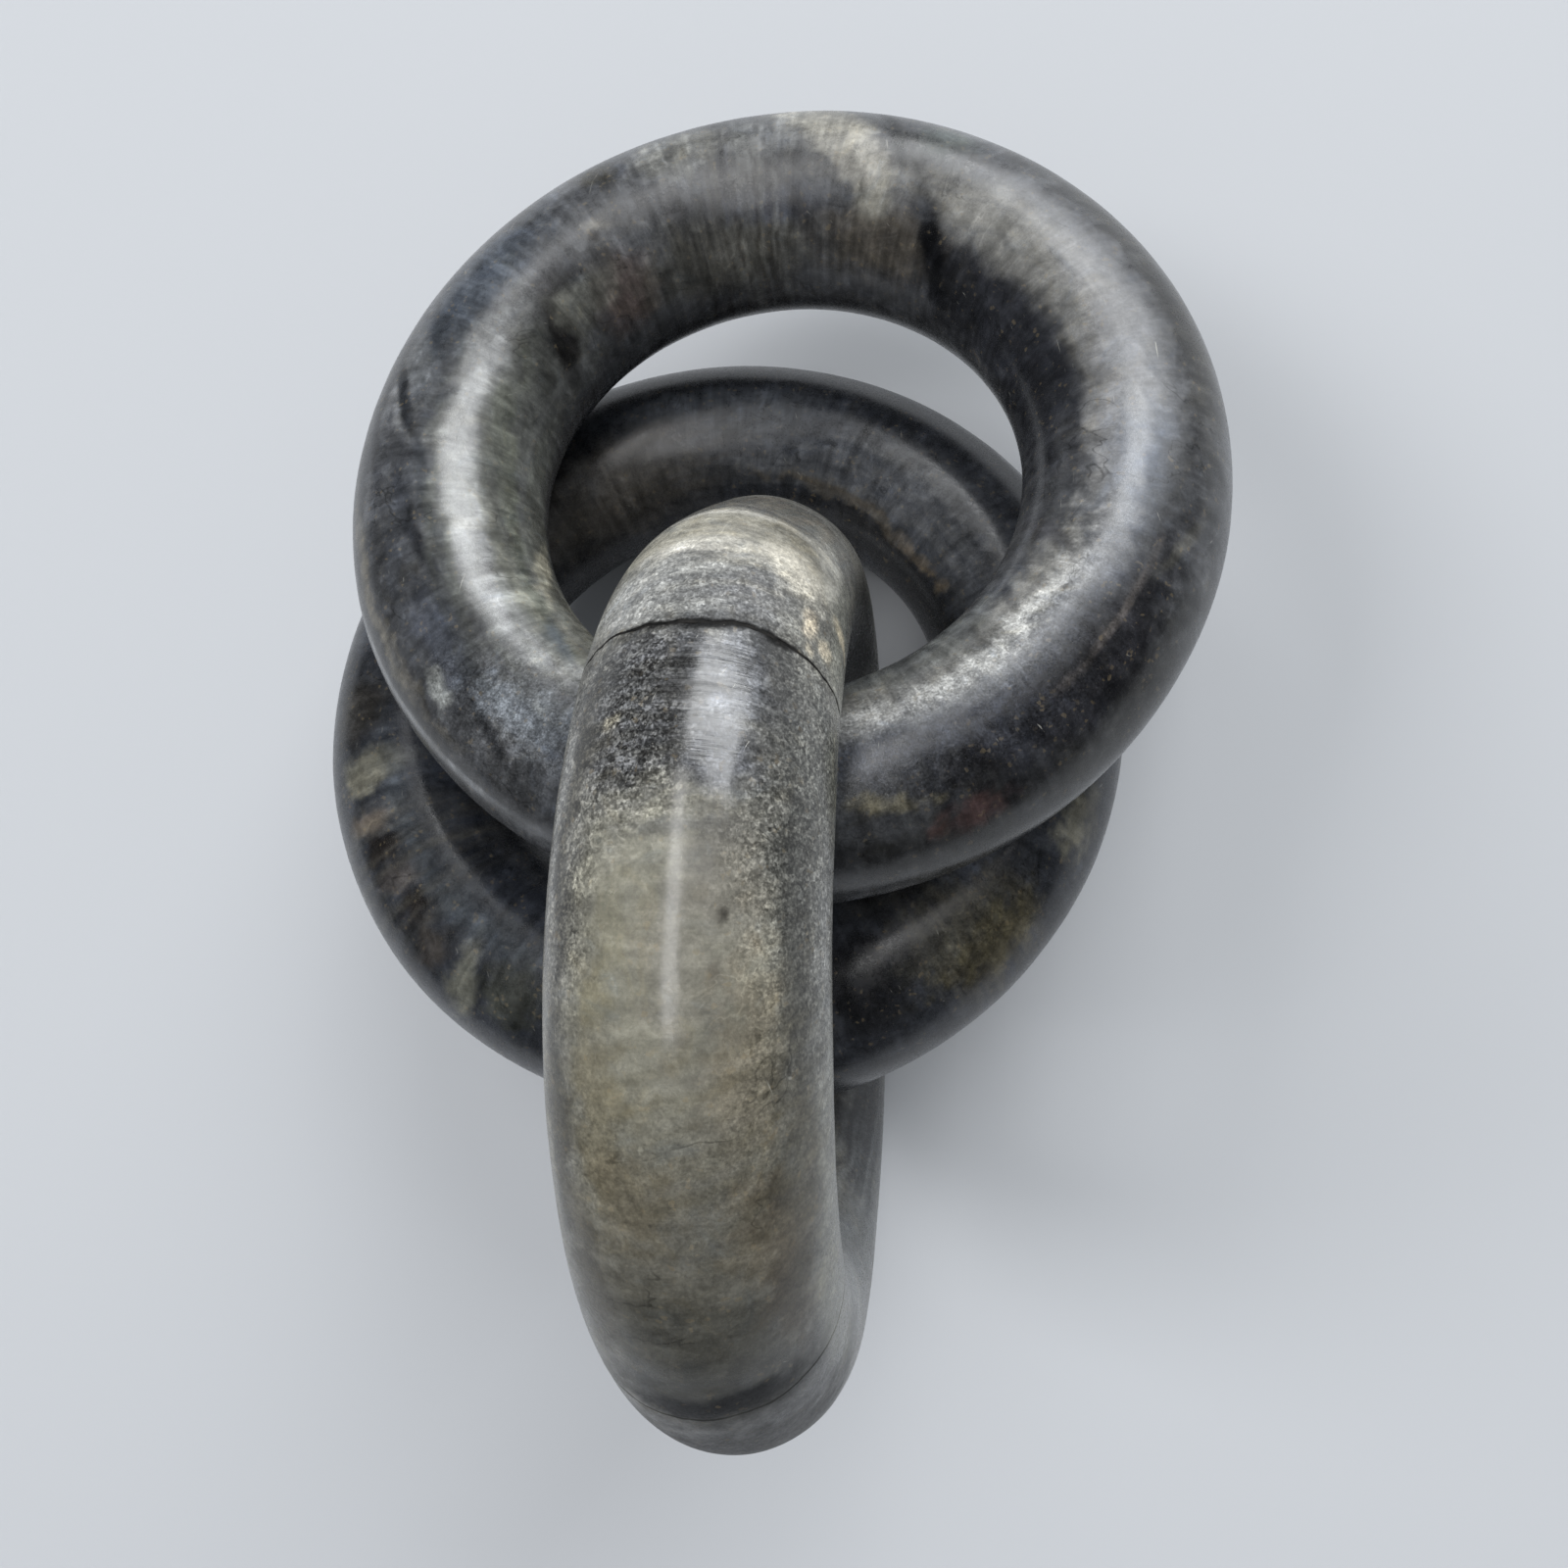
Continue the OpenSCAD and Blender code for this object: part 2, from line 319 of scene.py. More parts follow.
# upper link: dark blue-grey with a broad grey side, a pale wedge at the back and dark hollows
upper_paint = Painter("upper", (60, 61, 63), 11, 0.05, 0.62, 0.60)
(upper_paint
 .patch(24, 146, 26, 8.5, (27, 28, 32), 0.95, edge=0.6)
 .patch(22, 48, 28, 5.0, (40, 39, 36), 0.85)
 .patch(190, 36, 46, 5.0, (34, 34, 34), 0.9)
 .patch(308, 28, 30, 6.5, (36, 36, 35), 0.85)
 .patch(20, 108, 34, 3.0, (104, 104, 104), 0.7, ragged=0.7)
 .patch(20, 79, 26, 2.4, (92, 93, 96), 0.6, ragged=0.7)
 # partly the stone's pale streak, partly painted highlight: this pale band widens the upper link's right-hand
 # highlight on its inner side
 .patch(42, 109, 26, 3.8, (104, 103, 99), 0.85, ragged=0.35, edge=0.6, loose=0.7)
 .patch(192, 143, 33, 10.0, (84, 85, 81), 0.95, edge=0.4)
 .patch(215, 152, 17, 7.0, (108, 107, 98), 0.8)
 # partly a pale streak in the stone, partly painted highlight: a pale band along the upper link's left-hand highlight
 .patch(198, 118, 36, 2.4, (120, 121, 122), 0.75, ragged=0.6, loose=0.5)
 .patch(188, 152, 28, 4.6, (54, 55, 54), 0.85, edge=0.6)
 .patch(182, 143, 15, 1.6, (76, 78, 70), 0.7, turn=8, ragged=1.0)
 .patch(212, 142, 12, 1.2, (82, 84, 76), 0.7, turn=-10, ragged=1.0)
 .patch(228, 132, 4.0, 1.4, (66, 72, 78), 0.8, turn=-25)
 .patch(207, 162, 7, 1.4, (150, 146, 130), 0.8, turn=-30)
 .patch(146, 141, 2.6, 8.0, (20, 19, 19), 0.97, turn=-30, ragged=0.4, edge=0.4, loose=0.4)
 .patch(128, 150, 5.0, 5.0, (76, 63, 58), 0.6)
 .patch(137, 136, 6.0, 3.2, (92, 92, 86), 0.6)
 .patch(103, 152, 13, 5.0, (80, 79, 73), 0.7)
 .patch(92, 127, 8.0, 2.6, (58, 62, 72), 0.7)
 .patch(67, 140, 9.0, 6.0, (66, 62, 56), 0.8)
 .patch(55, 136, 2.0, 9.5, (14, 15, 18), 0.95, turn=35, ragged=0.4, edge=0.5, loose=0.35)
 .streaks(100, 147, 30, 9, (34, 31, 28), 0.6, 90, 1.0, 0.8)
 .patch(74, 120, 10, 2.0, (70, 72, 76), 0.6)
 .patch(84, 140, 1.2, 6.0, (34, 33, 34), 0.7, turn=25, loose=0.5)
 .patch(71, 116, 3.0, 4.6, (112, 110, 102), 0.85, turn=35, loose=0.4)
 .patch(75, 100, 3.6, 5.0, (114, 112, 106), 0.9, turn=38, edge=0.35, loose=0.4)
 .patch(80, 80, 4.6, 6.0, (118, 116, 109), 0.95, turn=38, edge=0.3, loose=0.4)
 .patch(86, 58, 5.5, 5.4, (112, 110, 103), 0.9, turn=34, loose=0.4)
 .patch(70, 80, 1.0, 6.5, (26, 28, 30), 0.95, turn=30, loose=0.3)
 .patch(62, 76, 4.5, 3.4, (60, 66, 64), 0.7)
 .patch(93, 82, 5.5, 4.0, (84, 85, 86), 0.8)
 .patch(108, 78, 5.5, 5.0, (112, 112, 108), 0.85, edge=0.6)
 .patch(121, 70, 2.8, 3.6, (40, 38, 32), 0.9)
 .patch(150, 84, 15, 4.5, (54, 59, 66), 0.75)
 .patch(166, 76, 6.0, 2.2, (92, 94, 96), 0.7, turn=28)
 .patch(176, 83, 7.0, 1.6, (96, 97, 98), 0.6, turn=32)
 .patch(205, 78, 20, 5.0, (44, 45, 47), 0.75)
 .patch(172.5, 77, 8.5, 1.0, (20, 22, 25), 0.95, turn=28, ragged=0.5, loose=0.4)
 .patch(192, 97, 11, 0.9, (34, 36, 38), 0.8, turn=5, loose=0.5)
 .patch(195, 86, 9.5, 1.0, (18, 19, 22), 0.95, turn=11, ragged=0.5, loose=0.4)
 .patch(218, 87, 12, 1.0, (22, 23, 26), 0.9, turn=-7, ragged=0.5, loose=0.5)
 .patch(230, 70, 8.5, 0.9, (24, 25, 27), 0.85, turn=-27, loose=0.4)
 .patch(178, 60, 9.0, 1.1, (26, 26, 28), 0.85, turn=6, loose=0.6)
 .patch(216, 80, 9.0, 3.0, (58, 61, 68), 0.7)
 .patch(236, 84, 7.0, 3.6, (88, 92, 97), 0.7, ragged=1.0)
 .patch(223, 64, 2.2, 1.5, (112, 114, 112), 0.7, ragged=1.2)
 .patch(205, 48, 20, 1.4, (92, 88, 78), 0.6, ragged=1.0)
 .patch(126, 109, 2.2, 0.8, (86, 84, 78), 0.7, turn=-30, loose=0.3)
 .patch(127.5, 113, 1.1, 0.9, (22, 20, 19), 0.95, loose=0.3)
 .patch(136, 121, 9.0, 1.6, (36, 36, 38), 0.7, turn=-14, loose=0.5)
 .patch(222, 29, 20, 0.7, (108, 110, 112), 0.7, ragged=0.6, loose=0.2)
 # painted highlight: these pale patches lie along the window's reflection on the upper link's lower right and
 # brighten it
 .patch(305, 116, 22, 4.4, (108, 107, 103), 0.8, ragged=0.8)
 .patch(306, 103, 20, 2.6, (142, 142, 140), 0.75, ragged=0.8)
 .patch(312, 101, 13, 3.0, (168, 168, 165), 0.85, turn=-3, ragged=0.6, edge=0.6)
 .patch(5, 98, 24, 3.2, (114, 114, 115), 0.7, ragged=0.6)
 .patch(300, 140, 12, 4.5, (84, 86, 84), 0.7, ragged=0.8)
 .patch(310, 86, 28, 3.6, (40, 44, 53), 0.85, ragged=0.8)
 .patch(316, 64, 26, 5.0, (22, 22, 25), 0.93)
 .patch(326, 71, 12, 0.5, (66, 62, 60), 0.6, loose=0.25, ragged=0.8)
 .patch(340, 57, 6.0, 0.8, (66, 65, 60), 0.5, turn=-20, loose=0.5)
 .patch(287, 61, 5.0, 1.1, (84, 80, 66), 0.75, turn=-8, ragged=1.5, loose=0.9)
 .patch(297, 40, 4.5, 2.0, (72, 54, 52), 0.7, ragged=1.1)
 .patch(323, 134, 0.9, 5.0, (40, 41, 44), 0.7, turn=-25, loose=0.8)
 .patch(337, 134, 1.2, 7.0, (44, 44, 47), 0.7, turn=-30, loose=0.8)
 .patch(351, 90, 9.0, 3.4, (92, 97, 106), 0.6)
 # underside and outer face
 .patch(60, -20, 30, 9.0, (52, 54, 58), 0.85)
 .patch(84, -10, 6.0, 14.0, (112, 110, 103), 0.75, turn=-10)
 .patch(140, -40, 22, 9.0, (92, 92, 88), 0.8)
 .patch(200, -60, 26, 8.0, (60, 62, 66), 0.85)
 .patch(232, -95, 18, 8.0, (110, 109, 102), 0.75)
 .patch(275, -70, 20, 9.0, (50, 51, 53), 0.85)
 .patch(330, -90, 24, 8.0, (82, 80, 74), 0.8)
 .patch(20, -110, 20, 8.0, (58, 60, 65), 0.85)
 .patch(110, -120, 22, 6.0, (66, 60, 54), 0.7)
 .patch(262, 60, 16, 16.0, (70, 73, 78), 0.7)
 .patch(257, 95, 5.0, 12.0, (118, 118, 114), 0.6, turn=-14)
 .streaks(112, 96, 16, 12, (52, 53, 56), 0.55, 90, 1.1, 0.75)
 .streaks(95, 132, 20, 8, (100, 100, 96), 0.35, 90, 1.3, 0.7)
 .streaks(300, 100, 22, 14, (42, 44, 50), 0.3, 90, 1.0, 0.8)
 .streaks(200, 135, 30, 10, (84, 86, 80), 0.5, -12, 1.3, 0.8)
 .streaks(195, 72, 30, 8, (50, 52, 56), 0.55, -8, 1.4, 0.8)
 .streaks(30, 100, 34, 9, (66, 68, 72), 0.4, 6, 1.2, 0.7)
 .mark(105, 104, 32, 10, 1, 0.40)
 .mark(192, 124, 36, 2.4, 1, 0.38)
 .mark(190, 97, 40, 2.2, 1, 0.10)
 .mark(190, 132, 38, 2.0, 1, 0.12)
 .mark(30, 108, 36, 7, 2, 0.28)
 .mark(305, 103, 24, 6, 2, 0.22)
 .mark(5, 79, 46, 3.0, 1, 0.12)
 .mark(8, 86, 34, 6, 2, 0.25)
 .mark(30, 88, 24, 4.0, 1, 0.24)
 .mark(300, 88, 30, 8, 0, 0.35)
 .mark(235, 80, 12, 9, 0, 0.35))

# lower link: nearly black blue-grey, beige and brown blotches on its left, olive mottling on its right
lower_paint = Painter("lower", (38, 40, 44), 21, 0.05, 0.5, 0.55)
(lower_paint
 .patch(55, 124, 32, 4.6, (58, 60, 64), 0.85, ragged=0.7)
 .patch(44, 102, 14, 1.8, (74, 75, 76), 0.7, ragged=0.7, loose=0.6)
 .patch(75, 108, 16, 3.0, (58, 61, 66), 0.6)
 .patch(118, 140, 16, 8.0, (68, 66, 63), 0.85)
 .patch(40, 160, 22, 5.0, (24, 24, 25), 0.95)
 .patch(55, 141, 18, 1.2, (66, 61, 53), 0.75, ragged=1.3, loose=1.4)
 .patch(32, 139, 6.0, 1.0, (74, 66, 55), 0.75, ragged=1.3, loose=1.4)
 .patch(75, 70, 34, 4.6, (26, 28, 32), 0.95)
 .patch(90, 92, 24, 2.5, (60, 63, 68), 0.6)
 .patch(197, 80, 2.6, 6.6, (84, 83, 75), 0.9, turn=-6, ragged=0.7, loose=0.5)
 .patch(199, 66, 2.0, 3.6, (92, 90, 80), 0.7, turn=-10, ragged=0.8)
 .patch(206.5, 70, 1.6, 5.0, (76, 69, 62), 0.75, turn=-14, ragged=0.8)
 .patch(211, 73, 1.7, 4.8, (22, 18, 16), 0.85, turn=-8, ragged=0.8)
 .patch(216.5, 70, 1.9, 4.0, (62, 58, 56), 0.7, turn=-16, ragged=0.8)
 .patch(222.5, 74, 2.2, 4.8, (22, 18, 16), 0.85, turn=-5, ragged=0.8)
 .patch(228.5, 60, 2.6, 3.6, (54, 50, 46), 0.7, ragged=0.8)
 .patch(235.5, 58, 1.9, 6.6, (90, 90, 82), 0.85, turn=10, ragged=0.8)
 .patch(243, 66, 5.0, 5.0, (44, 45, 40), 0.75, ragged=1.2)
 .patch(187, 70, 5.0, 5.0, (38, 36, 33), 0.8)
 .patch(222, 93, 22, 3.2, (64, 69, 74), 0.6, loose=0.6)
 .patch(215, 112, 26, 5.0, (30, 33, 39), 0.7)
 .patch(296, 75, 8.0, 8.0, (20, 20, 22), 0.85)
 .patch(313, 70, 9.0, 5.6, (52, 51, 45), 0.85, ragged=1.2)
 # painted reflection: this bluish pale patch on the lower link's right is where an overhead light mirrors
 .patch(324, 92, 6.0, 2.0, (82, 86, 94), 0.75, ragged=0.9)
 .patch(310, 120, 7.0, 4.0, (44, 44, 43), 0.7)
 .patch(316, 50, 7.0, 3.4, (78, 72, 50), 0.6, ragged=1.3)
 .patch(337, 46, 5.0, 3.0, (82, 80, 70), 0.75, ragged=1.3)
 .patch(350, 60, 9.0, 6.0, (40, 42, 46), 0.8)
 .patch(10, 75, 10, 7.0, (46, 46, 45), 0.7)
 # underside and hidden front
 .patch(150, -20, 30, 8.0, (60, 61, 62), 0.8)
 .patch(140, 60, 16, 9.0, (66, 66, 62), 0.75)
 .patch(160, 100, 9.0, 8.0, (86, 84, 76), 0.6, turn=20)
 .patch(90, -60, 26, 8.0, (78, 76, 70), 0.75)
 .patch(20, -70, 22, 9.0, (40, 42, 46), 0.85)
 .patch(320, -60, 22, 9.0, (68, 66, 58), 0.75)
 .patch(265, -50, 22, 9.0, (52, 54, 57), 0.85)
 .patch(270, 60, 14, 10.0, (40, 42, 45), 0.85)
 .patch(272, 100, 5.0, 9.0, (92, 91, 84), 0.6, turn=-12)
 .patch(205, -90, 20, 8.0, (88, 86, 78), 0.7)
 .streaks(60, 122, 34, 8, (80, 81, 82), 0.4, 4, 1.2, 0.75)
 .streaks(215, 76, 20, 10, (70, 68, 62), 0.45, 82, 1.5, 0.75)
 .streaks(316, 66, 16, 9, (78, 74, 62), 0.5, 84, 1.2, 0.8)
 .streaks(316, 80, 16, 9, (28, 28, 28), 0.5, 20, 1.3, 0.7)
 .streaks(110, 135, 20, 8, (58, 54, 48), 0.5, 10, 1.3, 0.8)
 .mark(314, 72, 16, 8, 0, 0.25)
 .mark(92, 103, 18, 6, 1, 0.28))

# middle link: cream and olive crown, charcoal band in front of the rear joint, pale rear shoulder,
# brown-grey front that darkens towards the floor
middle_paint = Painter("middle", (98, 97, 92), 31, 0.25, 0.5, 0.2)
(middle_paint
 .patch(352, 4, 22, 11.0, (106, 104, 94), 0.9)
 .patch(6, 6, 13, 9.0, (117, 115, 104), 0.95)
 .patch(11, -8, 6.0, 4.0, (126, 124, 113), 0.8)
 .patch(7, -15, 4.5, 1.8, (108, 105, 90), 0.7, ragged=1.1)
 .patch(3, -20, 3.0, 1.6, (112, 106, 84), 0.5, ragged=1.1)
 .patch(12, 28, 6.0, 3.4, (100, 97, 90), 0.8)
 .patch(9, 25, 0.7, 0.5, (44, 42, 38), 0.9, ragged=0.6, loose=0.1)
 .patch(4.5, 22, 0.6, 0.5, (48, 46, 42), 0.9, ragged=0.6, loose=0.1)
 .patch(356, 27, 0.5, 0.4, (50, 48, 44), 0.8, ragged=0.6, loose=0.1)
 .patch(355, 26, 7.0, 3.0, (102, 99, 90), 0.6, ragged=1.1)
 .patch(352, -20, 7.0, 2.6, (104, 98, 80), 0.6, ragged=1.1)
 .patch(5, 13, 8.0, 3.0, (104, 101, 94), 0.5, ragged=1.2)
 .patch(357, 36, 9.0, 3.0, (122, 114, 98), 0.5, ragged=1.3)
 .patch(341, 18, 10, 9.0, (96, 94, 87), 0.85)
 .patch(341, 40, 5.0, 3.0, (104, 96, 80), 0.5, ragged=1.2)
 .patch(346, -8, 5.0, 4.0, (96, 88, 70), 0.5, ragged=1.2)
 .patch(331, 8, 8.0, 10.0, (70, 69, 63), 0.9)
 .patch(322, 12, 6.0, 12.0, (54, 54, 51), 0.9)
 .patch(336, 48, 10, 3.0, (62, 56, 46), 0.75, ragged=1.0)
 .patch(349, 60, 12, 2.6, (70, 67, 58), 0.8, ragged=0.9)
 .patch(335, -34, 12, 2.6, (56, 52, 43), 0.7, ragged=0.9)
 .patch(350, -47, 13, 2.2, (44, 41, 33), 0.8, ragged=0.8)
 .patch(311, 15, 7.0, 14.0, (37, 37, 37), 0.9)
 .patch(301, 15, 6.0, 15.0, (30, 30, 30), 0.9)
 .patch(321.0, 3, 1.9, 5.6, (8, 9, 13), 0.97, ragged=0.45, edge=0.55, loose=0.3)
 .patch(321.6, 27, 1.9, 5.0, (8, 9, 13), 0.97, turn=-6, ragged=0.45, edge=0.5, loose=0.3)
 # charcoal band
 .patch(27, -22, 7.6, 6.6, (57, 57, 56), 0.97, ragged=0.45, edge=0.3)
 .patch(29, 4, 6.6, 3.6, (59, 59, 59), 0.95, edge=0.35)
 .patch(22, 22, 2.8, 3.8, (68, 70, 76), 0.85)
 # partly stone tone, partly painted highlight: a pale blue-grey patch where the window's highlight falls on the
 # charcoal band
 .patch(30, 26, 5.4, 3.4, (96, 98, 103), 0.9)
 .patch(30, 44, 6.2, 2.6, (68, 68, 68), 0.85)
 .patch(14, 54, 17, 2.6, (62, 62, 59), 0.9, turn=-4, ragged=0.6)
 .patch(26, 66, 9.0, 3.0, (92, 92, 88), 0.8)
 .patch(4, 72, 12, 2.4, (100, 100, 97), 0.75)
 .patch(5, 88, 18, 3.0, (122, 122, 120), 0.8)
 .patch(27, 86, 8.0, 3.0, (86, 86, 78), 0.8)
 .patch(17, -44, 14, 1.7, (42, 40, 33), 0.85, turn=6, ragged=0.8)
 .patch(20, -58, 18, 2.2, (104, 104, 102), 0.8)
 .patch(350, -66, 20, 3.0, (108, 106, 98), 0.7)
 .patch(326, 78, 18, 2.8, (112, 112, 104), 0.8)
 .patch(344, 88, 14, 3.4, (122, 122, 116), 0.8)
 # pale rear shoulder
 .patch(41, -6, 5.6, 9.6, (126, 126, 123), 0.95, edge=0.25)
 .patch(40.5, 30, 4.4, 4.6, (98, 98, 98), 0.85)
 .patch(39, 62, 3.4, 5.0, (104, 103, 97), 0.8)
 .patch(40, 82, 4.0, 3.6, (110, 110, 102), 0.8)
 .patch(52, 8, 6.6, 13.0, (142, 139, 128), 0.95, edge=0.3)
 .patch(47.5, 10, 1.8, 9.0, (176, 173, 164), 0.9, loose=0.6, ragged=0.7)
 .patch(48.5, 46, 3.6, 4.0, (182, 177, 164), 0.9, ragged=0.7)
 .patch(55, 62, 7.0, 2.6, (164, 162, 153), 0.8, turn=-8, ragged=0.7)
 .patch(53, 22, 2.0, 5.0, (118, 115, 106), 0.6)
 .patch(57.6, 12, 1.0, 9.0, (166, 163, 154), 0.85, loose=0.4)
 .patch(50, 80, 8.0, 2.6, (116, 116, 108), 0.8, ragged=0.8)
 .patch(39.4, 67, 1.3, 1.1, (172, 162, 142), 0.9, ragged=1.0, loose=0.4)
 .patch(41, 56, 1.9, 1.1, (170, 160, 142), 0.9, ragged=1.0, loose=0.4)
 .patch(37.4, 57, 0.8, 0.6, (160, 152, 134), 0.8, ragged=1.0, loose=0.4)
 .patch(46, 81, 1.0, 1.9, (178, 168, 146), 0.85, turn=20, ragged=1.0, loose=0.4)
 .patch(42.5, 36, 0.9, 0.8, (146, 144, 138), 0.8, ragged=1.2, loose=0.4)
 .patch(44, 35, 0.6, 0.7, (142, 140, 134), 0.8, ragged=1.2, loose=0.4)
 .patch(25.5, -24, 1.1, 0.9, (112, 108, 96), 0.7, ragged=1.2, loose=0.4)
 .patch(60.5, 12, 0.8, 10.0, (40, 41, 40), 0.9, loose=0.5)
 .patch(68, 8, 7.0, 12.0, (56, 56, 50), 0.9, edge=0.4)
 .patch(66, 55, 4.5, 1.5, (124, 123, 116), 0.6, turn=-30)
 .patch(67, 72, 6.0, 3.0, (104, 104, 101), 0.8)
 # right side behind the upper link, and the hidden rear, inside and left
 .patch(90, 110, 22, 6.5, (42, 42, 41), 0.9)
 .patch(100, 10, 26, 12.0, (78, 77, 71), 0.85)
 .patch(128, -30, 14, 9.0, (118, 116, 106), 0.8)
 .patch(150, 30, 18, 9.0, (66, 66, 66), 0.85)
 .patch(185, 0, 20, 12.0, (92, 90, 84), 0.8)
 .patch(215, 40, 14, 8.0, (118, 116, 108), 0.75)
 .patch(250, 0, 22, 12.0, (76, 76, 72), 0.8)
 .patch(280, -30, 14, 8.0, (104, 102, 92), 0.75)
 .patch(240, 115, 18, 6.0, (62, 63, 64), 0.85)
 .patch(268, 112, 12, 4.4, (82, 84, 84), 0.75)
 .patch(285, 140, 14, 5.0, (58, 60, 61), 0.75)
 .patch(165, 120, 26, 8.0, (54, 56, 58), 0.85)
 .patch(237, 124, 12, 6.5, (40, 41, 43), 0.9, turn=10, ragged=0.8)
 .patch(252, 116, 9.0, 2.2, (48, 50, 51), 0.8, turn=-24, ragged=0.9, loose=0.6)
 .patch(275, 110, 9.0, 5.0, (74, 75, 74), 0.7, ragged=0.8)
 .patch(298, 108, 10, 5.0, (106, 107, 106), 0.7)
 .patch(40, 160, 26, 8.0, (76, 74, 66), 0.8)
 .patch(330, 165, 24, 8.0, (92, 90, 82), 0.75)
 .patch(30, -100, 30, 8.0, (96, 94, 85), 0.8)
 .patch(80, -90, 14, 9.0, (62, 62, 62), 0.85)
 .patch(300, -110, 30, 9.0, (80, 80, 74), 0.8)
 .patch(220, -120, 24, 9.0, (104, 103, 96), 0.75)
 .patch(150, -110, 20, 9.0, (58, 60, 62), 0.85)
 .streaks(350, 10, 24, 12, (84, 80, 66), 0.4, 74, 1.4, 0.8)
 .streaks(52, 20, 8, 14, (108, 104, 92), 0.4, 86, 1.1, 0.8)
 .streaks(41, 10, 6, 12, (74, 75, 78), 0.5, 80, 1.0, 0.8)
 .streaks(68, 20, 9, 12, (98, 88, 74), 0.5, 14, 1.2, 0.7)
 .streaks(26, 0, 9, 14, (84, 85, 88), 0.5, 86, 0.9, 0.75)
 .streaks(250, 120, 40, 8, (96, 98, 98), 0.5, 8, 1.2, 0.7)
 .streaks(250, -60, 60, 20, (64, 62, 56), 0.4, 12, 1.8, 0.8)
 .patch(36.0, 14, 0.42, 7.0, (9, 9, 9), 0.97, ragged=1.1, edge=0.4, loose=0.10)
 .patch(35.6, 9, 0.60, 2.6, (12, 12, 12), 0.95, ragged=1.2, loose=0.15)
 .patch(35.7, 36, 0.50, 3.2, (14, 14, 14), 0.9, ragged=1.1, loose=0.15)
 .patch(35.9, 48, 0.40, 2.4, (22, 21, 20), 0.85, ragged=1.0, loose=0.12)
 .patch(35.8, -12, 0.45, 3.4, (30, 29, 28), 0.8, ragged=1.0, loose=0.12)
 .patch(304, -8, 8.0, 7.0, (24, 24, 24), 0.8)
 .patch(316, 48, 7.0, 4.5, (44, 44, 43), 0.7, ragged=0.6)
 .mark(5, 5, 16, 10, 0, 0.06)
 .mark(27, -14, 8.5, 10, 0, 0.9, edge=0.4)
 .mark(27, -10, 11, 12, 2, 0.35)
 .mark(20, 60, 22, 6, 0, 0.6)
 .mark(18, -46, 16, 4, 0, 0.6)
 .mark(41, 5, 6, 16, 0, 0.40)
 .mark(41, 5, 6, 16, 2, 0.55)
 .mark(30, 26, 6, 5, 0, 0.40)
 .mark(345, 52, 18, 5, 0, 0.22)
 .mark(335, 0, 14, 14, 0, 0.10)
 .mark(318, 10, 10, 16, 0, 0.06)
 .mark(53, 10, 7, 14, 0, 0.15)
 .mark(53, 10, 7, 14, 2, 0.4)
 .mark(17, 8, 24, 6, 1, 0.95)
 .mark(28, 16, 8, 6, 1, 1.0)
 .mark(28, 17, 6, 5, 0, 0.3)
 .mark(28, 17, 7, 6, 2, 1.0)
 .mark(44, 10, 6, 14, 1, 0.40)
 .mark(35.6, 10, 1.5, 14, 1, 0.0, edge=0.4)
 .mark(320.8, 14, 3.6, 11, 1, 0.05)
 .mark(303, 14, 8, 16, 1, 0.12)
 .mark(304, 2, 13, 14, 1, 0.04))

# ---------------------------------------------------------------- pieces
upper = full_ring("upper_link_stone", "upper", 560, 180, 101, upper_paint)
lower = full_ring("lower_link_stone", "lower", 560, 180, 201, lower_paint)
RJ, FJ = math.radians(REAR_JOINT), math.radians(FRONT_JOINT)
long_arc = arc_ring("middle_link_long_arc_stone", "middle", RJ + FILM, FJ + 2 * math.pi - FILM, 0, 1, 620, 220, 301, middle_paint)
closing = arc_ring("middle_link_closing_arc_stone", "middle", FJ + FILM, RJ - FILM, 1, 0, 190, 220, 301, middle_paint)




def film_disc(name, ring, ph0, which, sink0, seed, painter, nth=220):
    """The thin layer of resin in a joint: it follows the joint's wander and stops short of the surface."""
    c, a, b, n, R, r = RINGS[ring]
    th = np.linspace(0, 2 * math.pi, nth, endpoint=False)
    verts, faces, count, rims, paints = [], [], 0, [], []
    for side in (-1, 1):
        PH = ph0 + side * (FILM * 0.97) + seam_wave(th, which) / R
        L0 = to_local(ring, surface(ring, PH, th, 0.0))
        sink = unevenness(ring, PH, th, L0, seed) + sink0 + 0.03 * Noise3(90 + which)(L0 / 1.1)
        rim = surface(ring, PH, th, sink)
        mid = rim.mean(0)
        tone = painter(np.full_like(th, ph0)[None], th[None], L0[None])[0][0]
        paints += [tone, tone, tone, tone[:1]]
        rows = []
        for fr in (1.0, 0.72, 0.36):
            verts.append(mid + (rim - mid) * fr)
            rows.append(np.arange(count, count + nth))
            count += nth
        verts.append(mid[None])
        centre = count
        count += 1
        rims.append(rows[0])
        for r0, r1 in zip(rows[:-1], rows[1:]):
            for j in range(nth):
                k = (j + 1) % nth
                f = [int(r0[j]), int(r1[j]), int(r1[k]), int(r0[k])]
                faces.append(f if side < 0 else f[::-1])
        for j in range(nth):
            f = [int(rows[-1][j]), centre, int(rows[-1][(j + 1) % nth])]
            faces.append(f if side < 0 else f[::-1])
    for j in range(nth):
        k = (j + 1) % nth
        faces.append([int(rims[0][j]), int(rims[0][k]), int(rims[1][k]), int(rims[1][j])])
    V = np.concatenate(verts)
    L = to_local(ring, V)
    return build_mesh(name, V, faces, L, np.concatenate(paints), np.ones((len(V), 4)))


film_rear = film_disc("adhesive_joint_rear_film", "middle", RJ, 0, 0.04, 301, middle_paint)
film_front = film_disc("adhesive_joint_front_film", "middle", FJ, 1, 0.0, 301, middle_paint)


# ---------------------------------------------------------------- materials
def plain(name, color, rough):
    m = bpy.data.materials.new(name)
    m.use_nodes = True
    p = m.node_tree.nodes["Principled BSDF"]
    p.inputs["Base Color"].default_value = (*color, 1)
    p.inputs["Roughness"].default_value = rough
    return m


